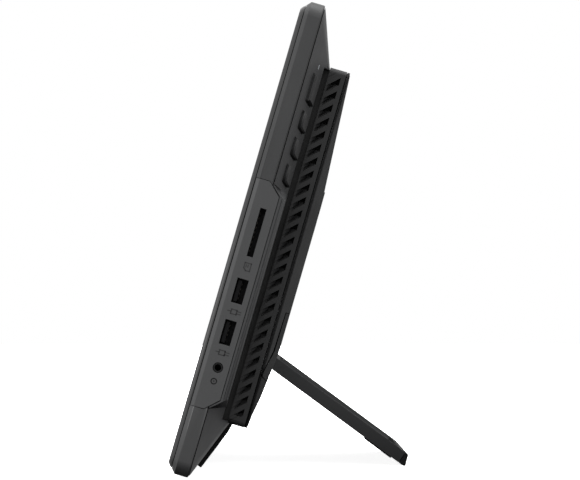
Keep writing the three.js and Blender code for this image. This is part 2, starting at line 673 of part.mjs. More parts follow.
function addRearCover() {
  const { x, low, high } = BLOCK;
  const groove = COVER.side / 2;
  const neck = join(
    block(groove - x, x - groove, COVER.neck, COVER.rim + 0.2, low + 0.2, high - 0.2),
    block(-STEP.x, STEP.x, STEP.face + GAP, COVER.neck + 0.1, low + 0.2, high - 0.2),
  );
  const tray = common(
    block(-POCKET.x - POCKET.wall, POCKET.x + POCKET.wall, POCKET.floor - POCKET.wall, 42, 54,
      POCKET.top + POCKET.wall),
    extrude('x', [[20, 40], ...COVER_PROFILE.slice(1, 4), [COVER.top, 180], [20, 180]], -100, 100),
  );
  const pocket = extrude('x', [
    [POCKET.floor, POCKET.top], [42, POCKET.top], [42, POCKET.mouth - 42],
    [POCKET.mouth - POCKET.base, POCKET.base], [POCKET.floor, POCKET.base],
  ], -POCKET.x, POCKET.x);
  const fingerPad = block(-18, 18, 31.6, 36.4, POCKET.top - 1, 179);
  const fingerScoop = extrude('x', [[33.8, 162], [33.8, 167], [42, 176], [42, 162]], -15, 15);
  const shell = cut(join(coverOutside(), neck), coverInside());
  const cuts = [pocket, fingerScoop, ...intakeCutters()];
  for (const side of [1, -1]) {
    cuts.push(sideExtrude(side, hingeCapOutline(0.35), 99.6, 180));
    cuts.push(sideRod(side, PIVOT.v, PIVOT.u, PIN.clear, 80, PIN.to + 1, 16));
  }
  for (const [x, u] of SCREWS) {
    const face = coverDepth(u);
    cuts.push(rod('v', x, u, 3.4, face - 1.8, 42, 20), rod('v', x, u, 1.6, 26, 42, 10));
  }
  addPart('rear_cover', cut(join(shell, tray, fingerPad), ...cuts), CHARCOAL);

  bothSides((name, side) => {
    const cap = common(sideExtrude(side, hingeCapOutline(0), 100, 180), coverOutside());
    addPart(`hinge_cap_${name}`, cap, DARK);
  });
}

// ---------------------------------------------------------------- kickstand and its hinge

/** The leg is drawn in its own group: y runs along it from the pivot, z is its upper face. */
function addKickstand() {
  const leg = new THREE.Group();
  leg.position.set(0, PIVOT.v, PIVOT.u);
  leg.rotation.x = THREE.MathUtils.degToRad(-LEG.open);
  device.add(leg);

  const rootArc = Array.from({ length: 9 }, (_, i) => {
    const angle = THREE.MathUtils.degToRad(90 + i * 22.5);
    const reach = angle <= Math.PI ? LEG.over : LEG.under;
    return [LEG.under * Math.cos(angle), reach * Math.sin(angle)];
  });
  const outline = [...rootArc, [LEG.end, -LEG.under], [LEG.end, LEG.over]];
  const { wide, tall, floor, rim } = LEG_POCKET;
  const reach = LEG.x - rim;
  const cuts = [block(-reach, reach, LEG_POCKET.from, LEG_POCKET.to, LEG_POCKET.ribTop, LEG.over + 1)];
  for (const x of LEG_POCKET.columns) {
    for (const y of LEG_POCKET.rows) {
      cuts.push(block(x - wide / 2, x + wide / 2, y, y + tall, floor, LEG.over));
    }
  }
  const { x: padX, from, to, proud, sink } = LEG_PAD;
  cuts.push(block(-padX - GAP, padX + GAP, from - GAP, to + GAP, -5, sink + GAP - LEG.under));
  for (const side of [1, -1]) cuts.push(sideRod(side, 0, 0, PIN.bore, PIN.from - 1, LEG.x + 1, 16));
  const body = extrude('x', outline, -LEG.x, LEG.x);
  addPart('kickstand_plate', cut(body, ...cuts), CHARCOAL, leg);
  addPart('kickstand_pad', block(-padX, padX, from, to, -LEG.under - proud, sink - LEG.under), RUBBER, leg);
  addPart('kickstand_foot', extrude('x', footOutline(), -LEG.x, LEG.x), RUBBER, leg);
}

/** The rubber tip's outline in the leg's (y, z); one facet lies flat on the desk. */
function footOutline() {
  const drop = THREE.MathUtils.degToRad(LEAN + LEG.open);
  const lean = THREE.MathUtils.degToRad(LEAN);
  const pivotHeight = PIVOT.u * Math.cos(lean) - PIVOT.v * Math.sin(lean) + DESK;
  const deskStart = (pivotHeight - LEG.under * Math.cos(drop)) / Math.sin(drop);
  const deskEnd = -(pivotHeight - LEG.tip * Math.sin(drop)) / Math.cos(drop);
  return [
    [LEG.end + GAP, LEG.over], [LEG.end + GAP, -LEG.under], [deskStart, -LEG.under],
    [LEG.tip, deskEnd], [LEG.tip - LEG.slant, LEG.over],
  ];
}

function addHinges() {
  bothSides((name, side) => {
    const pin = sideRod(side, PIVOT.v, PIVOT.u, PIN.radius, PIN.from, PIN.to, 16);
    addPart(`hinge_pin_${name}`, pin, STEEL);
    const top = PIVOT.v - PIN.radius - GAP;
    const { root, low, bend, high, thick, near, far } = BRACKET;
    const profile = [
      [root, low], [top, low], [top, high], [top - thick, high], [top - thick, bend], [root, bend],
    ];
    addPart(`hinge_bracket_${name}`, sideExtrude(side, profile, near, far), STEEL);
  });
}

// ---------------------------------------------------------------- electronics

const MAINBOARD = {
  outline: [[-95, 58], [60, 58], [60, 84], [95, 84], [95, 204], [-40, 204], [-40, 190], [-95, 190]],
  front: 12.9, back: 14.3,
};
const CPU = { x: 14, low: 106, high: 134, front: 14.6, back: 16 };
const HEAT_SINK = { x: 17, arm: 27, low: 98, high: 142, armTall: 4, front: 16.3, armBack: 17, back: 18.5 };
const MEMORY = { from: -58, to: 9.6, low: 66, high: 96, front: 14.7, thick: 1.2, spacing: 3.2 };
const CHIP = { count: 4, from: -53, pitch: 15.5, wide: 11, low: 74, high: 88, top: 2.1 };
const PIPE = {
  path: [[17.6, 120], [44, 119], [84, 122], [128, 126], [156, 138], [162, 160], [162, 202]], wide: 7,
};
const FIN = { count: 14, pitch: 4.5, gap: 3, from: 141, near: 157, far: 166.6, low: 138, high: 206 };

function addMainboard() {
  addPart('mainboard', extrude('v', MAINBOARD.outline, MAINBOARD.front, MAINBOARD.back), BOARD);
  addPart('cpu', block(-CPU.x, CPU.x, CPU.front, CPU.back, CPU.low, CPU.high), STEEL);
  const { x, arm, low, high, armTall, front, armBack, back } = HEAT_SINK;
  addPart('heat_sink_base', join(
    block(-x, x, front, back, low, high),
    block(-arm, arm, front, armBack, low, low + armTall),
    block(-arm, arm, front, armBack, high - armTall, high),
  ), COPPER);
  [1, 2].forEach(addMemoryModule);
  const shield = block(34, 56, 15.8, 17.6, 88, 107);
  addPart('wifi_card', join(block(30, 60, 14.7, 15.9, 85, 111), shield), BOARD);
  addPart('hard_drive', extrude('v', roundedRect(-166, -66, 44, 114, 2, 2), 16, 23), ALUMINIUM);
}

function addMemoryModule(slot) {
  const front = MEMORY.front + (slot - 1) * MEMORY.spacing;
  const board = block(MEMORY.from, MEMORY.to, front, front + MEMORY.thick, MEMORY.low, MEMORY.high);
  const chips = Array.from({ length: CHIP.count }, (_, i) => {
    const x = CHIP.from + i * CHIP.pitch;
    return block(x, x + CHIP.wide, front + 1, front + CHIP.top, CHIP.low, CHIP.high);
  });
  addPart(`memory_module_${slot}`, join(board, ...chips), BOARD);
}

function addCooling() {
  bothSides((name, side) => {
    const pipe = ribbon(PIPE.path.map(([x, u]) => [side * x, u]), PIPE.wide);
    addPart(`heat_pipe_${name}`, extrude('v', pipe, HEAT_SINK.front, HEAT_SINK.back), COPPER);

    const gaps = Array.from({ length: FIN.count }, (_, i) => {
      const low = FIN.from + i * FIN.pitch;
      return sideBlock(side, FIN.near - 7, FIN.far + 4, 20, 30, low, low + FIN.gap);
    });
    const stack = sideBlock(side, FIN.near, FIN.far, FAN.front, FAN.back, FIN.low, FIN.high);
    addPart(`fin_stack_${name}`, cut(stack, ...gaps), ALUMINIUM);
    addFan(name, side);
  });
}

function addFan(name, side) {
  const x = side * FAN.x;
  const { u, radius, front, back, wall, outlet } = FAN;
  const outside = join(rod('v', x, u, radius, front, back, 40),
    sideBlock(side, FAN.x, outlet, front, back, u - 34, u + 34));
  const inside = join(rod('v', x, u, radius - 1.5, front + wall, back - wall, 40),
    sideBlock(side, FAN.x, outlet + 2, front + wall, back - wall, u - 32.5, u + 32.5));
  const inlet = rod('v', x, u, 22, back - 4, back + 1, 32);
  addPart(`fan_housing_${name}`, cut(outside, inside, inlet), BLACK_PLASTIC);

  const rotor = new THREE.Group();
  rotor.position.set(x, (front + back) / 2, u);
  device.add(rotor);
  const blades = Array.from({ length: 11 }, (_, i) =>
    block(9, 31, -2.6, 2.6, -0.6, 0.6).applyMatrix4(
      new THREE.Matrix4().makeRotationY((i * 2 * Math.PI) / 11)));
  addPart(`fan_rotor_${name}`, join(rod('v', 0, 0, 11, -2.9, 2.9, 24), ...blades), BLACK_PLASTIC, rotor);
}

const SPEAKER = { near: 100, far: 166, front: 7.8, back: 12.2, low: 9.6, high: 30, cone: 8, dish: 0.8 };

function addSpeakers() {
  bothSides((name, side) => {
    const { near, far, front, back, low, high, cone: radius, dish } = SPEAKER;
    const box = sideBlock(side, near, far, front, back, low, high);
    const cone = rod('v', (side * (near + far)) / 2, (low + high) / 2, radius, back - dish, back + 2, 20);
    addPart(`speaker_${name}`, cut(box, cone), BLACK_PLASTIC);
  });
}

// ---------------------------------------------------------------- the whole computer

addScreen();
addFrame();
addRearShell();
addKeys();
addPorts();
addRearHousing();
addRearCover();
addCoverScrews();
addKickstand();
addHinges();
addMainboard();
addCooling();
addSpeakers();

const computer = new THREE.Group();
computer.add(device);
computer.updateMatrixWorld(true);
const bounds = new THREE.Box3().setFromObject(computer, true);
device.position.set(0, -(bounds.min.y + bounds.max.y) / 2, -bounds.min.z);
computer.updateMatrixWorld(true);

export default computer;
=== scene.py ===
"""All-in-one computer on a kickstand: finishes, fine pieces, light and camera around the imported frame."""
import json
import math

import bmesh
import bpy
from mathutils import Matrix, Vector


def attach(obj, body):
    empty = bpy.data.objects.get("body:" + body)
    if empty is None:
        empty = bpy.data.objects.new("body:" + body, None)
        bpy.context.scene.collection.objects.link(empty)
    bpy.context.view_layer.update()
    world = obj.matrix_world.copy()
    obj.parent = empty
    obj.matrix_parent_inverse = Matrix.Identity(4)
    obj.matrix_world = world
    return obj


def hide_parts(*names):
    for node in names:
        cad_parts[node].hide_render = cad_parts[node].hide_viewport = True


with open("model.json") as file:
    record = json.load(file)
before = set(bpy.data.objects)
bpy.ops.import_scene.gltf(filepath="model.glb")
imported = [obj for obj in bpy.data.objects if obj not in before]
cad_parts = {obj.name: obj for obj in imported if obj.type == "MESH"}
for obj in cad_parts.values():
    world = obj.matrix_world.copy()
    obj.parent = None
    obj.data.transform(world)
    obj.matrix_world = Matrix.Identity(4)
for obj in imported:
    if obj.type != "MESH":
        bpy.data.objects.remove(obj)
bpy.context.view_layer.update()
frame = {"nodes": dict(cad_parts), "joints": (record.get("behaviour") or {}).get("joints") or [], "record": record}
nodes = frame["nodes"]
MM = 0.001

# ------------------------------------------------------------------ screen axes
# x runs right seen from the front, v back from the front glass, u up along the screen.
# The fan's axis lies along v, and the kickstand's hinge fixes the origin.

PIVOT_V, PIVOT_U = 34.5, 67.0
joints = {joint["name"]: joint for joint in frame["joints"]}
AXIS_X = Vector((1, 0, 0))
AXIS_V = Vector(joints["fan_right_spin"]["axis"]).normalized()
AXIS_U = AXIS_X.cross(AXIS_V)
ORIGIN = (Vector(joints["kickstand_hinge"]["pos_m"])
          - AXIS_V * PIVOT_V * MM - AXIS_U * PIVOT_U * MM)
ORIGIN.x = 0
SCREEN = Matrix.Translation(ORIGIN) @ Matrix((AXIS_X, AXIS_V, AXIS_U)).transposed().to_4x4()

SIDE = 205.0            # half the slab's width

# ------------------------------------------------------------------ material helpers

GRAIN_DEPTH = 0.00002   # of moulded plastic, in metres
GRAIN_SCALE = 3200      # in repeats per metre


class Shader:
    """A Principled material with short ways to add procedural detail."""

    def __init__(self, name, color, roughness, **sockets):
        self.material = bpy.data.materials.new(name)
        self.material.use_nodes = True
        self.tree = self.material.node_tree
        self.bsdf = self.tree.nodes["Principled BSDF"]
        self.color = (*color, 1.0)
        self.set("Base Color", self.color)
        self.set("Roughness", roughness)
        self.roughness = roughness
        for socket, value in sockets.items():
            self.set(socket.replace("_", " "), value)
        self.place = self.node("ShaderNodeTexCoord").outputs["Object"]
        self.material.diffuse_color = self.color

    def set(self, socket, value):
        self.bsdf.inputs[socket].default_value = value

    def node(self, kind, **values):
        made = self.tree.nodes.new(kind)
        for key, value in values.items():
            if key in made.inputs:
                made.inputs[key].default_value = value
            else:
                setattr(made, key, value)
        return made

    def link(self, a, b):
        self.tree.links.new(a, b)

    def feed(self, socket, value):
        """Gives an input a number, a colour or another node's output."""
        if isinstance(value, bpy.types.NodeSocket):
            self.link(value, socket)
        else:
            socket.default_value = (*value, 1.0) if isinstance(value, tuple) else value

    def math(self, operation, *values):
        """The output of a math node, of numbers and other nodes' outputs."""
        made = self.node("ShaderNodeMath", operation=operation)
        for socket, value in zip(made.inputs, values):
            self.feed(socket, value)
        return made.outputs[0]

    def noise(self, scale, detail=3.0, stretch=None):
        """Noise over the object, in repeats per metre."""
        texture = self.node("ShaderNodeTexNoise", Scale=scale, Detail=detail)
        source = self.place
        if stretch:
            mapping = self.node("ShaderNodeMapping")
            mapping.inputs["Scale"].default_value = stretch
            self.link(source, mapping.inputs["Vector"])
            source = mapping.outputs["Vector"]
        self.link(source, texture.inputs["Vector"])
        return texture.outputs["Fac"]

    def spread(self, value, low, high):
        """Maps noise, which stays mostly between 0.3 and 0.7, onto a range."""
        ramp = self.node("ShaderNodeMapRange")
        ramp.inputs["From Min"].default_value = 0.3
        ramp.inputs["From Max"].default_value = 0.7
        ramp.inputs["To Min"].default_value = low
        ramp.inputs["To Max"].default_value = high
        self.link(value, ramp.inputs["Value"])
        return ramp.outputs["Result"]

    def mix(self, factor, color_a, color_b):
        """Blends two colours, each a tuple or another node's output."""
        blend = self.node("ShaderNodeMix", data_type="RGBA")
        self.feed(blend.inputs[0], factor)
        self.feed(blend.inputs[6], color_a)
        self.feed(blend.inputs[7], color_b)
        return blend.outputs[2]

    def paint(self, color):
        """Links a node's output as the colour."""
        self.link(color, self.bsdf.inputs["Base Color"])

    def tint(self, factor, amount):
        """Colour that wanders by a share of itself."""
        low = tuple(c * (1 - amount) for c in self.color[:3])
        high = tuple(c * (1 + amount) for c in self.color[:3])
        self.paint(self.mix(factor, low, high))

    def vary_roughness(self, factor, amount):
        low, high = self.roughness - amount, self.roughness + amount
        self.link(self.spread(factor, low, high), self.bsdf.inputs["Roughness"])

    def bump(self, height, depth, strength=1.0):
        """Relief whose full height is depth, in metres."""
        relief = self.node("ShaderNodeBump", Strength=strength, Distance=depth)
        self.link(height, relief.inputs["Height"])
        previous = self.bsdf.inputs["Normal"].links
        if previous:
            self.link(previous[0].from_socket, relief.inputs["Normal"])
        self.link(relief.outputs["Normal"], self.bsdf.inputs["Normal"])

    def mould(self, grain=GRAIN_DEPTH, grain_scale=GRAIN_SCALE):
        """The cloudy sheen and fine grain of a spark-eroded mould."""
        self.vary_roughness(self.noise(60, 5), 0.05)
        self.bump(self.noise(grain_scale, 2), grain, 0.6)


# ------------------------------------------------------------------ where the tones change: the panel behind the glass, and painted shade
# An area has two limits: each is a screen axis, its middle and half its size in millimetres.

PANEL_AREA = (("X", 0, 190.9), ("Z", 120.0, 107.4))         # of the front glass, over the panel
COVER_SHADE_AREA = (("X", 0, 200), ("Z", 39, 25))            # of the rear cover, its lower part, painted darker as the shade where it faces down
SHELL_SHADE_AREA = (("X", 0, 183.9), ("Z", 127.5, 94.8))     # of the rear shell, where the housing stands, painted near black as the shade of the recess there
GROOVE_SHADE_AREA = (("Y", 25.0, 2.0), ("Z", 127.0, 95.0))        # of the housing, the front of the louvres, where fine lines of painted shade stand for grooves

LOUVRE_PITCH = 7.155    # between the side louvres
LOUVRE_LEAN = 0.933     # how far their edges rise for each millimetre back
LOUVRE_TOP = 192.3      # the first one's top edge, carried on to the front glass
LOUVRE_SOLID = 0.37     # the share of the pitch that is solid between two louvres
# Pitch and width of the painted shade lines across the louvre fronts.
GROOVE_PITCH = LOUVRE_PITCH / 3
GROOVE_WIDTH = 0.859    # measured up the screen, as the pitch is

LEG_SIDE = 85.0         # distance of the leg's side faces from the middle
TRAY_WALL = 81.8        # and of its tray's side walls
WALL_REACH = 0.3        # how far from such a face its painted light reaches
LEG_RISE = 60.0         # height above the desk at which the side's painted light is brightest

# ------------------------------------------------------------------ materials


def moulded(name, color, roughness, grain=GRAIN_DEPTH, grain_scale=GRAIN_SCALE, **sockets):
    """Injection-moulded plastic in one colour, which wanders a little."""
    shader = Shader(name, color, roughness, **sockets)
    shader.tint(shader.noise(22, 4), 0.07)
    shader.mould(grain, grain_scale)
    shader.bump(shader.noise(grain_scale / 5, 1), grain * 0.6, 0.3)
    return shader.material


def metal(name, color, roughness, stretch=(1, 1, 1), grain=0.000004):
    """Bare metal with a directional finish."""
    shader = Shader(name, color, roughness, Metallic=1.0)
    shader.tint(shader.noise(120, 3), 0.06)
    streaks = shader.noise(900, 4, stretch)
    shader.vary_roughness(streaks, 0.08)
    shader.bump(streaks, grain, 0.5)
    return shader.material


def rubber(name, color):
    shader = Shader(name, color, 0.85, Specular_IOR_Level=0.04)
    shader.tint(shader.noise(40, 4), 0.15)
    shader.vary_roughness(shader.noise(180, 4), 0.08)
    shader.bump(shader.noise(1500, 4), 0.00005, 0.7)
    return shader.material


def screen_axes(shader):
    """The outputs X, Y and Z of a point in screen axes, in metres."""
    turn = shader.node("ShaderNodeMapping", vector_type="TEXTURE")
    turn.inputs["Location"].default_value = ORIGIN
    turn.inputs["Rotation"].default_value = SCREEN.to_euler()
    split = shader.node("ShaderNodeSeparateXYZ")
    shader.link(shader.place, turn.inputs["Vector"])
    shader.link(turn.outputs["Vector"], split.inputs["Vector"])
    return split.outputs


def screen_box(shader, area):
    """1 inside both of an area's limits, and 0 outside."""
    place = screen_axes(shader)
    inside = [shader.math("COMPARE", place[axis], middle * MM, half * MM) for axis, middle, half in area]
    return shader.math("MULTIPLY", *inside)


def front_glass():
    """Dark glass: the panel behind it shows as a slightly lighter, bluer rectangle."""
    black, panel = (0.0035, 0.0036, 0.004), (0.009, 0.0095, 0.011)
    shader = Shader("front_glass", black, 0.045, IOR=1.52, Specular_IOR_Level=0.2)
    shader.paint(shader.mix(screen_box(shader, PANEL_AREA), black, panel))
    shader.vary_roughness(shader.noise(14, 6), 0.02)
    return shader.material


def shade_painted_plastic(name, color, dark_color, dark_area, roughness, **sockets):
    """Moulded plastic with painted shade: darker inside a box in screen axes."""
    shader = Shader(name, color, roughness, **sockets)
    shader.paint(shader.mix(screen_box(shader, dark_area), color, dark_color))
    shader.mould()
    return shader.material


def housing_plastic():
    """The housing's moulded plastic, with fine near-black lines of painted shade across the front of each side
    louvre, where grooves would lie in shade.
    """
    plain, dark = (0.011, 0.0111, 0.0115), (0.001, 0.001, 0.001)
    shader = Shader("housing_plastic", plain, 0.55, Specular_IOR_Level=0.3)
    place = screen_axes(shader)
    slanted = shader.math("MULTIPLY_ADD", place["Y"], -LOUVRE_LEAN, place["Z"])
    height = shader.math("SUBTRACT", slanted, LOUVRE_TOP * MM)
    wave = shader.math("PINGPONG", height, GROOVE_PITCH / 2 * MM)
    # painted shade: near-black lines where fine grooves in the louvre fronts would lie in shade
    groove_shade = shader.math("LESS_THAN", wave, GROOVE_WIDTH / 2 * MM)
    share = shader.math("FRACT", shader.math("DIVIDE", height, LOUVRE_PITCH * MM))
    opening = shader.math("GREATER_THAN", share, LOUVRE_SOLID)
    in_front = screen_box(shader, GROOVE_SHADE_AREA)
    painted_groove_shade = shader.math("MULTIPLY", shader.math("MULTIPLY", groove_shade, opening), in_front)
    shader.paint(shader.mix(painted_groove_shade, plain, dark))
    shader.mould()
    return shader.material


def leg_plastic():
    """The leg's moulded plastic with painted light: its side faces are painted lighter towards the hinge and
    darker towards the tip, and its tray's side walls are painted light against the shade they stand in.
    """
    plain, tray_wall_painted_light = (0.02, 0.0202, 0.0206), (0.078, 0.079, 0.08)
    tip_painted_shade, hinge_painted_light = (0.016, 0.0162, 0.0165), (0.05, 0.0505, 0.0515)
    shader = Shader("leg_plastic", plain, 0.6, Specular_IOR_Level=0.05)
    split = shader.node("ShaderNodeSeparateXYZ")
    shader.link(shader.place, split.inputs["Vector"])
    rise = shader.node("ShaderNodeMapRange")
    rise.inputs["From Max"].default_value = LEG_RISE * MM
    shader.link(split.outputs["Z"], rise.inputs["Value"])
    across = shader.math("ABSOLUTE", split.outputs["X"])
    on_side, on_wall = (shader.math("COMPARE", across, distance * MM, WALL_REACH * MM)
                        for distance in (LEG_SIDE, TRAY_WALL))
    # painted light and shade: the side faces brighten from the tip up to the hinge, and the tray walls are painted
    # light where they lie in shade
    side = shader.mix(on_side, plain, shader.mix(rise.outputs["Result"], tip_painted_shade, hinge_painted_light))
    shader.paint(shader.mix(on_wall, side, tray_wall_painted_light))
    shader.mould()
    return shader.material


def circuit_board():
    """Solder mask over fine copper tracks."""
    mask, track = (0.012, 0.085, 0.035), (0.03, 0.17, 0.06)
    shader = Shader("circuit_board", mask, 0.35)
    tracks = shader.node("ShaderNodeTexVoronoi", Scale=420.0, distance="MANHATTAN")
    shader.link(shader.place, tracks.inputs["Vector"])
    edge = shader.math("LESS_THAN", tracks.outputs["Distance"], 0.22)
    shader.paint(shader.mix(edge, mask, track))
    shader.bump(edge, 0.00003, 0.6)
    return shader.material


def dust_screen():
    """Woven mesh: small dark holes in a black sheet."""
    thread, hole = (0.004, 0.004, 0.004), (0.0005, 0.0005, 0.0005)
    shader = Shader("dust_screen", thread, 0.95, Specular_IOR_Level=0.08)
    holes = shader.node("ShaderNodeTexVoronoi", Scale=900.0)
    shader.link(shader.place, holes.inputs["Vector"])
    inside = shader.math("LESS_THAN", holes.outputs["Distance"], 0.38)
    shader.paint(shader.mix(inside, thread, hole))
    shader.bump(holes.outputs["Distance"], 0.0002, 0.8)
    return shader.material


def glow(name, color, strength):
    """A clear light pipe, faintly lit from behind."""
    shader = Shader(name, color, 0.25, Transmission_Weight=0.2)
    shader.set("Emission Color", (*color, 1.0))
    shader.set("Emission Strength", strength)
    shader.vary_roughness(shader.noise(400, 2), 0.05)
    return shader.material


CHARCOAL = moulded("charcoal_plastic", (0.0185, 0.0188, 0.0195), 0.5)
PANEL = moulded("panel_plastic", (0.03, 0.0305, 0.0315), 0.46)
HOUSING = housing_plastic()
# The rear cover's lower part is painted darker: painted shade where it faces down.
COVER = shade_painted_plastic("cover_plastic", (0.026, 0.0262, 0.0267), (0.0125, 0.0126, 0.013),
                 COVER_SHADE_AREA, 0.6, Specular_IOR_Level=0.1)
CAP = moulded("cap_plastic", (0.017, 0.0171, 0.0175), 0.6, Specular_IOR_Level=0.1)
LEG = leg_plastic()
SATIN = moulded("satin_black", (0.011, 0.011, 0.0115), 0.42, grain=0.00001, Specular_IOR_Level=0.4)
GLOSS = moulded("gloss_black", (0.006, 0.006, 0.0065), 0.16, grain=0.000002, grain_scale=600)
PLAIN = moulded("plain_black", (0.005, 0.005, 0.0052), 0.6, grain=0.00001, Specular_IOR_Level=0.25)
RUBBER = rubber("black_rubber", (0.009, 0.009, 0.0092))
STEEL = metal("zinc_steel", (0.56, 0.57, 0.58), 0.34, (1, 12, 1))
# Socket metal made near black, so that it paints the shade inside the socket mouths.
SOCKET_SHADE_METAL = metal("socket_metal_painted_shade", (0.011, 0.011, 0.0115), 0.45, (12, 1, 1))
SCREW = metal("black_zinc", (0.05, 0.05, 0.052), 0.38, (6, 6, 1))
COPPER = metal("copper", (0.78, 0.36, 0.2), 0.3, (10, 1, 1))
ALUMINIUM = metal("aluminium", (0.78, 0.79, 0.8), 0.32, (1, 1, 14))
CONTACT = metal("dull_contact", (0.04, 0.037, 0.032), 0.4, (1, 1, 8))
PRINT = moulded("printed_mark", (0.004, 0.004, 0.0042), 0.6, grain=0.000002)
GLASS = front_glass()
# The rear shell is painted near black where the housing stands: painted shade in the recess beside it.
SHELL = shade_painted_plastic("shell_plastic", (0.034, 0.0343, 0.0353), (0.002, 0.002, 0.0022),
                 SHELL_SHADE_AREA, 0.5, Specular_IOR_Level=0.3)
BOARD = circuit_board()
SCREEN_MESH = dust_screen()
LIGHT_PIPE = glow("light_pipe", (0.35, 0.37, 0.39), 0.1)

SLOT_FINISH = {
    "cover_glass": GLASS,
    "gloss_black": GLOSS,
    "charcoal_plastic": CHARCOAL,
    "dark_plastic": SATIN,
    "display": GLOSS,
    "black_plastic": PLAIN,
    "connector_steel": SOCKET_SHADE_METAL,
    "steel": STEEL,
    "screw_black": SCREW,
    "copper": COPPER,
    "aluminium": ALUMINIUM,
    "circuit_board": BOARD,
    "rubber": RUBBER,
    "light_pipe": LIGHT_PIPE,
}
NODE_FINISH = {
    "dust_screen_right": SCREEN_MESH, "dust_screen_left": SCREEN_MESH,
    "port_panel_right": PANEL, "port_panel_left": PANEL, "rear_shell": SHELL,
    "rear_housing": HOUSING, "rear_cover": COVER, "kickstand_plate": LEG,
    "hinge_cap_right": CAP, "hinge_cap_left": CAP,
}

# ------------------------------------------------------------------ finishes of the frame's nodes

# Nodes with softened edges: the radius, and the shortest edge that gets one, in millimetres.
SOFTENED = {
    "cover_glass": (0.4, 0.7), "front_bezel": (0.2, 1.5), "mid_frame": (0.3, 6), "rear_shell": (0.15, 1.5),
    "port_panel_right": (0.2, 3), "port_panel_left": (0.2, 6),
    "rear_housing": (0.15, 12), "rear_cover": (0.1, 3),
    "hinge_cap_right": (0.15, 1.5), "hinge_cap_left": (0.15, 0.7),
    "kickstand_plate": (0.2, 0.7), "kickstand_foot": (0.4, 0.7), "kickstand_pad": (0.3, 0.7),
    "power_button": (0.2, 0.7), "menu_button": (0.2, 6),
    "volume_up_button": (0.2, 6), "volume_down_button": (0.2, 6),
    "bottom_bevel_pad": (0.4, 0.7), "bottom_edge_foot": (0.2, 0.7),
    "sd_card_slot": (0.15, 1.5), "lan_socket": (0.15, 1.5), "headset_jack": (0.2, 0.7),
    **{f"cover_screw_{number}": (0.15, 1.5) for number in range(1, 5)},
}
BODIES = frame["record"]["behaviour"]["bodies"]
NODE_BODY = {node: body for body, members in BODIES.items() for node in members}
FLAT_ANGLE = math.radians(0.6)       # faces that meet at less are one flat face
CREASE_ANGLE = math.radians(18)      # edges above this are real edges, and below it part of a round


def soften_edges(shape, radius, shortest):
    """Rounds a solid's outer edges and leaves its inner corners crisp."""
    bmesh.ops.remove_doubles(shape, verts=shape.verts, dist=0.01 * MM)
    bmesh.ops.dissolve_limit(shape, angle_limit=FLAT_ANGLE, verts=shape.verts, edges=shape.edges)
    shape.normal_update()
    outer = [edge for edge in shape.edges
             if edge.calc_face_angle_signed(0) > CREASE_ANGLE and edge.calc_length() >= shortest * MM]
    made = bmesh.ops.bevel(shape, geom=outer, offset=radius * MM, offset_type="OFFSET", segments=2,
                           profile=0.5, affect="EDGES", loop_slide=True)
    shape.normal_update()
    rounds = set(made["faces"])
    for face in shape.faces:
        face.smooth = True
    for edge in shape.edges:
        in_round = any(face in rounds for face in edge.link_faces)
        edge.smooth = in_round or edge.calc_face_angle(0) < CREASE_ANGLE


def stand_in(name, radius, shortest):
    """A copy of a frame node with softened edges, shown in its place."""
    shape = bmesh.new()
    shape.from_mesh(nodes[name].data)
    soften_edges(shape, radius, shortest)
    mesh = bpy.data.meshes.new(f"{name}_finished")
    shape.to_mesh(mesh)
    shape.free()
    piece = bpy.data.objects.new(f"{name}_finished", mesh)
    bpy.context.scene.collection.objects.link(piece)
    weighted = piece.modifiers.new("normals", "WEIGHTED_NORMAL")
    weighted.keep_sharp = True
    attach(piece, NODE_BODY[name])
    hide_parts(name)
    return piece


def finish_nodes():
    """Gives every frame node its finish, and the ones that show softened edges too."""
    for part in frame["record"]["subparts"]:
        name = part["node"]
        piece = stand_in(name, *SOFTENED[name]) if name in SOFTENED else nodes[name]
        piece.data.materials.clear()
        piece.data.materials.append(NODE_FINISH.get(name, SLOT_FINISH[part["material_slot"]]))


finish_nodes()

# ------------------------------------------------------------------ mesh helpers for the fine pieces


def make_piece(name, mesh, material):
    """Links a mesh drawn in screen axes and millimetres as a piece that rides on the computer."""
    mesh.transform(SCREEN @ Matrix.Scale(MM, 4))
    mesh.update()
    piece = bpy.data.objects.new(name, mesh)
    bpy.context.scene.collection.objects.link(piece)
    mesh.materials.append(material)
    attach(piece, "computer")


def from_bmesh(name, shape):
    bmesh.ops.recalc_face_normals(shape, faces=shape.faces)
    mesh = bpy.data.meshes.new(name)
    shape.to_mesh(mesh)
    shape.free()
    return mesh


def add_box(shape, low, high):
    middle = [(a + b) / 2 for a, b in zip(low, high)]
    size = [b - a for a, b in zip(low, high)]
    place = Matrix.Translation(middle) @ Matrix.Diagonal((*size, 1))
    bmesh.ops.create_cube(shape, size=1, matrix=place)


def add_outline(shape, side, outline, near, far):
    """A flat outline in (v, u) given thickness along x on one side of the computer."""
    front = [shape.verts.new((side * near, v, u)) for v, u in outline]
    back = [shape.verts.new((side * far, v, u)) for v, u in outline]
    count = len(outline)
    shape.faces.new(front)
    shape.faces.new(back)
    for i in range(count):
        j = (i + 1) % count
        shape.faces.new((front[i], front[j], back[j], back[i]))


def stroke(points, width, closed=False):
    """Four-cornered outlines that draw a line of one width through points in (v, u)."""
    quads = []
    count = len(points)
    for i in range(count if closed else count - 1):
        a, b = Vector(points[i]), Vector(points[(i + 1) % count])
        along = (b - a).normalized() * width / 2
        across = Vector((-along.y, along.x))
        quads.append([a - along + across, b + along + across, b + along - across, a - along - across])
    return quads


def circle(v, u, radius, start=0, end=360, steps=12):
    """Points round a circle, or along an arc, which has one point more than it has steps."""
    angles = [math.radians(start + (end - start) * i / steps) for i in range(steps + (end - start < 360))]
    return [(v + radius * math.cos(a), u + radius * math.sin(a)) for a in angles]


# ------------------------------------------------------------------ printed port marks

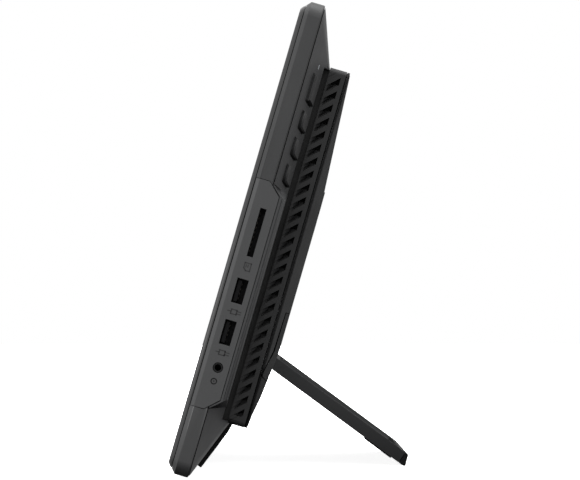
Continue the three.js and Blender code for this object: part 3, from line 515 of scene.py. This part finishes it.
MARK_WIDTH = 0.49       # of a mark's lines
MARK_PROUD = 0.05       # how far a mark stands out of its panel
MARK_SUNK = 0.02        # and reaches into it

# Each USB socket's side, the height of its middle and of the mark below it.
USB_SOCKETS = {"upper": (1, 98.7, 87.8), "lower": (1, 76.8, 66.2), "left": (-1, 88.0, 79.0)}


def add_mark(name, side, strokes, dots=()):
    """A small generic pictogram printed on a side panel."""
    shape = bmesh.new()
    for points, closed in strokes:
        for quad in stroke(points, MARK_WIDTH, closed):
            add_outline(shape, side, quad, SIDE - MARK_SUNK, SIDE + MARK_PROUD)
    for v, u, radius in dots:
        add_outline(shape, side, circle(v, u, radius), SIDE - MARK_SUNK, SIDE + MARK_PROUD)
    make_piece(name, from_bmesh(name, shape), PRINT)


def add_marks():
    card = ((9.3, 113.6), (12.6, 113.6), (12.6, 109.6), (10.6, 109.6), (9.3, 110.9))
    lines = [(((v, 112.6), (v, 111.6)), False) for v in (10.2, 11.2)]
    add_mark("card_mark", 1, [(card, True), *lines])
    for name, (side, _, u) in USB_SOCKETS.items():
        lead = ((7.6, u), (9.3, u))
        plug = ((9.3, u - 1.15), (9.3, u + 1.15), (12.2, u + 1.15), (12.2, u - 1.15))
        prongs = [(((12.2, u + offset), (14.3, u + offset)), False) for offset in (-0.6, 0.6)]
        add_mark(f"usb_mark_{name}", side, [(plug, True), (lead, False), *prongs])
    add_mark("headset_mark", 1, [(circle(10.8, 51.2, 1.4, steps=16), True)], [(10.8, 51.2, 0.5)])
    tray = ((10.4, 122.9), (10.4, 121.3), (12.6, 121.3), (12.6, 122.9))
    add_mark("network_mark", -1, [(tray, True), (((11.5, 121.3), (11.5, 120.2)), False)])
    screen = ((9.2, 101.6), (9.2, 99.2), (12.8, 99.2), (12.8, 101.6))
    stand = [(((11.0, 99.2), (11.0, 98.2)), False), (((9.9, 98.2), (12.1, 98.2)), False)]
    add_mark("display_mark", -1, [(screen, True), *stand])
    bar = ((10.9, 50.9), (10.9, 49.4))
    add_mark("power_in_mark", -1, [(circle(10.9, 49.2, 1.5, -60, 240), False), (bar, False)])


# ------------------------------------------------------------------ contacts inside the sockets


def add_contacts(name, side, start, v, heights, size):
    """A row of contacts: bars that start at a distance from the middle, with one at each height."""
    shape = bmesh.new()
    reach, deep, tall = size
    near, far = sorted((side * start, side * (start + reach)))
    for u in heights:
        add_box(shape, (near, v, u), (far, v + deep, u + tall))
    make_piece(name, from_bmesh(name, shape), CONTACT)


def add_socket_details():
    for name, (side, middle, _) in USB_SOCKETS.items():
        heights = [middle + offset - 0.5 for offset in (-3.6, -1.2, 1.2, 3.6)]
        add_contacts(f"usb_contacts_{name}", side, 192.0, 10.73, heights, (8.6, 0.12, 1.0))
    for name, side, start, v, lowest, pitch, count, size in (
            ("card_contacts", 1, 190.5, 9.3, 119.2, 2.5, 9, (5.0, 0.25, 1.2)),
            ("network_contacts", -1, 190.5, 8.25, 127.6, 1.16, 8, (9.0, 0.3, 0.5)),
            ("display_contacts", -1, 191.0, 11.65, 106.4, 1.05, 10, (8.0, 0.1, 0.45))):
        add_contacts(name, side, start, v, [lowest + i * pitch for i in range(count)], size)


add_marks()
add_socket_details()

# ------------------------------------------------------------------ floor, light, camera

CAMERA_SPOT = ORIGIN + Vector((1.575, 0.06338, 0.0772))
CAMERA_PITCH = 1.7            # degrees above level
CAMERA_LENS = 167.3           # millimetres
SENSOR_WIDTH = 36             # millimetres
BRIGHT_SIDE = Vector((0.15, 0.0, 0.99)).normalized()      # straight up, and a little to the camera's side
DARK_FROM, BRIGHT_FROM = -0.7, 0.4        # cosines between which the studio walls brighten
AMBIENT = (0.03, 1.9)                     # their brightness at those ends


def add_floor():
    bpy.ops.mesh.primitive_plane_add(size=14, location=(0, 0, 0))
    floor = bpy.context.object
    floor.name = "floor"
    floor.visible_diffuse = False
    floor.visible_glossy = False
    shader = Shader("pale_floor", (0.9, 0.9, 0.9), 0.9)
    shader.tint(shader.noise(0.6, 2), 0.01)
    shader.set("Emission Color", (1, 1, 1, 1))
    shader.set("Emission Strength", 0.92)
    floor.data.materials.append(shader.material)


def add_world():
    """A white backdrop behind the object, and studio walls that are brightest overhead."""
    world = bpy.data.worlds.new("studio")
    bpy.context.scene.world = world
    world.use_nodes = True
    tree = world.node_tree
    tree.nodes.clear()
    direction = tree.nodes.new("ShaderNodeTexCoord")
    towards = tree.nodes.new("ShaderNodeVectorMath")
    towards.operation = "DOT_PRODUCT"
    towards.inputs[1].default_value = BRIGHT_SIDE
    fade = tree.nodes.new("ShaderNodeMapRange")
    fade.inputs["From Min"].default_value, fade.inputs["From Max"].default_value = DARK_FROM, BRIGHT_FROM
    fade.inputs["To Min"].default_value, fade.inputs["To Max"].default_value = AMBIENT
    walls = tree.nodes.new("ShaderNodeBackground")
    backdrop = tree.nodes.new("ShaderNodeBackground")
    backdrop.inputs["Color"].default_value = (1, 1, 1, 1)
    ray = tree.nodes.new("ShaderNodeLightPath")
    choose = tree.nodes.new("ShaderNodeMixShader")
    output = tree.nodes.new("ShaderNodeOutputWorld")
    tree.links.new(direction.outputs["Generated"], towards.inputs[0])
    tree.links.new(towards.outputs["Value"], fade.inputs["Value"])
    tree.links.new(fade.outputs["Result"], walls.inputs["Strength"])
    tree.links.new(ray.outputs["Is Camera Ray"], choose.inputs["Fac"])
    tree.links.new(walls.outputs["Background"], choose.inputs[1])
    tree.links.new(backdrop.outputs["Background"], choose.inputs[2])
    tree.links.new(choose.outputs["Shader"], output.inputs["Surface"])


def add_lamp(name, kind, spot, target, energy, **values):
    lamp = bpy.data.lights.new(name, kind)
    lamp.energy = energy
    for key, value in values.items():
        setattr(lamp, key, value)
    holder = bpy.data.objects.new(name, lamp)
    bpy.context.scene.collection.objects.link(holder)
    holder.location = spot
    holder.rotation_euler = (Vector(target) - Vector(spot)).to_track_quat("-Z", "Y").to_euler()


def add_camera():
    data = bpy.data.cameras.new("camera")
    data.lens = CAMERA_LENS
    data.sensor_width = SENSOR_WIDTH
    data.clip_start = 0.05
    data.clip_end = 30
    camera = bpy.data.objects.new("camera", data)
    bpy.context.scene.collection.objects.link(camera)
    pitch = math.radians(CAMERA_PITCH)
    direction = Vector((-math.cos(pitch), 0, math.sin(pitch)))
    camera.location = CAMERA_SPOT
    camera.rotation_euler = direction.to_track_quat("-Z", "Y").to_euler()
    bpy.context.scene.camera = camera


bpy.context.scene.view_settings.view_transform = "Standard"
add_floor()
add_world()
add_lamp("overhead", "SUN", (0.1, -0.2, 2), (0, 0, 0), 3.2, angle=math.radians(45))
add_lamp("front_strip", "AREA", (0.1, -1.1, 0.38), (0.2, -0.05, 0.06), 0.15,
         shape="RECTANGLE", size=0.25, size_y=0.14)
add_camera()
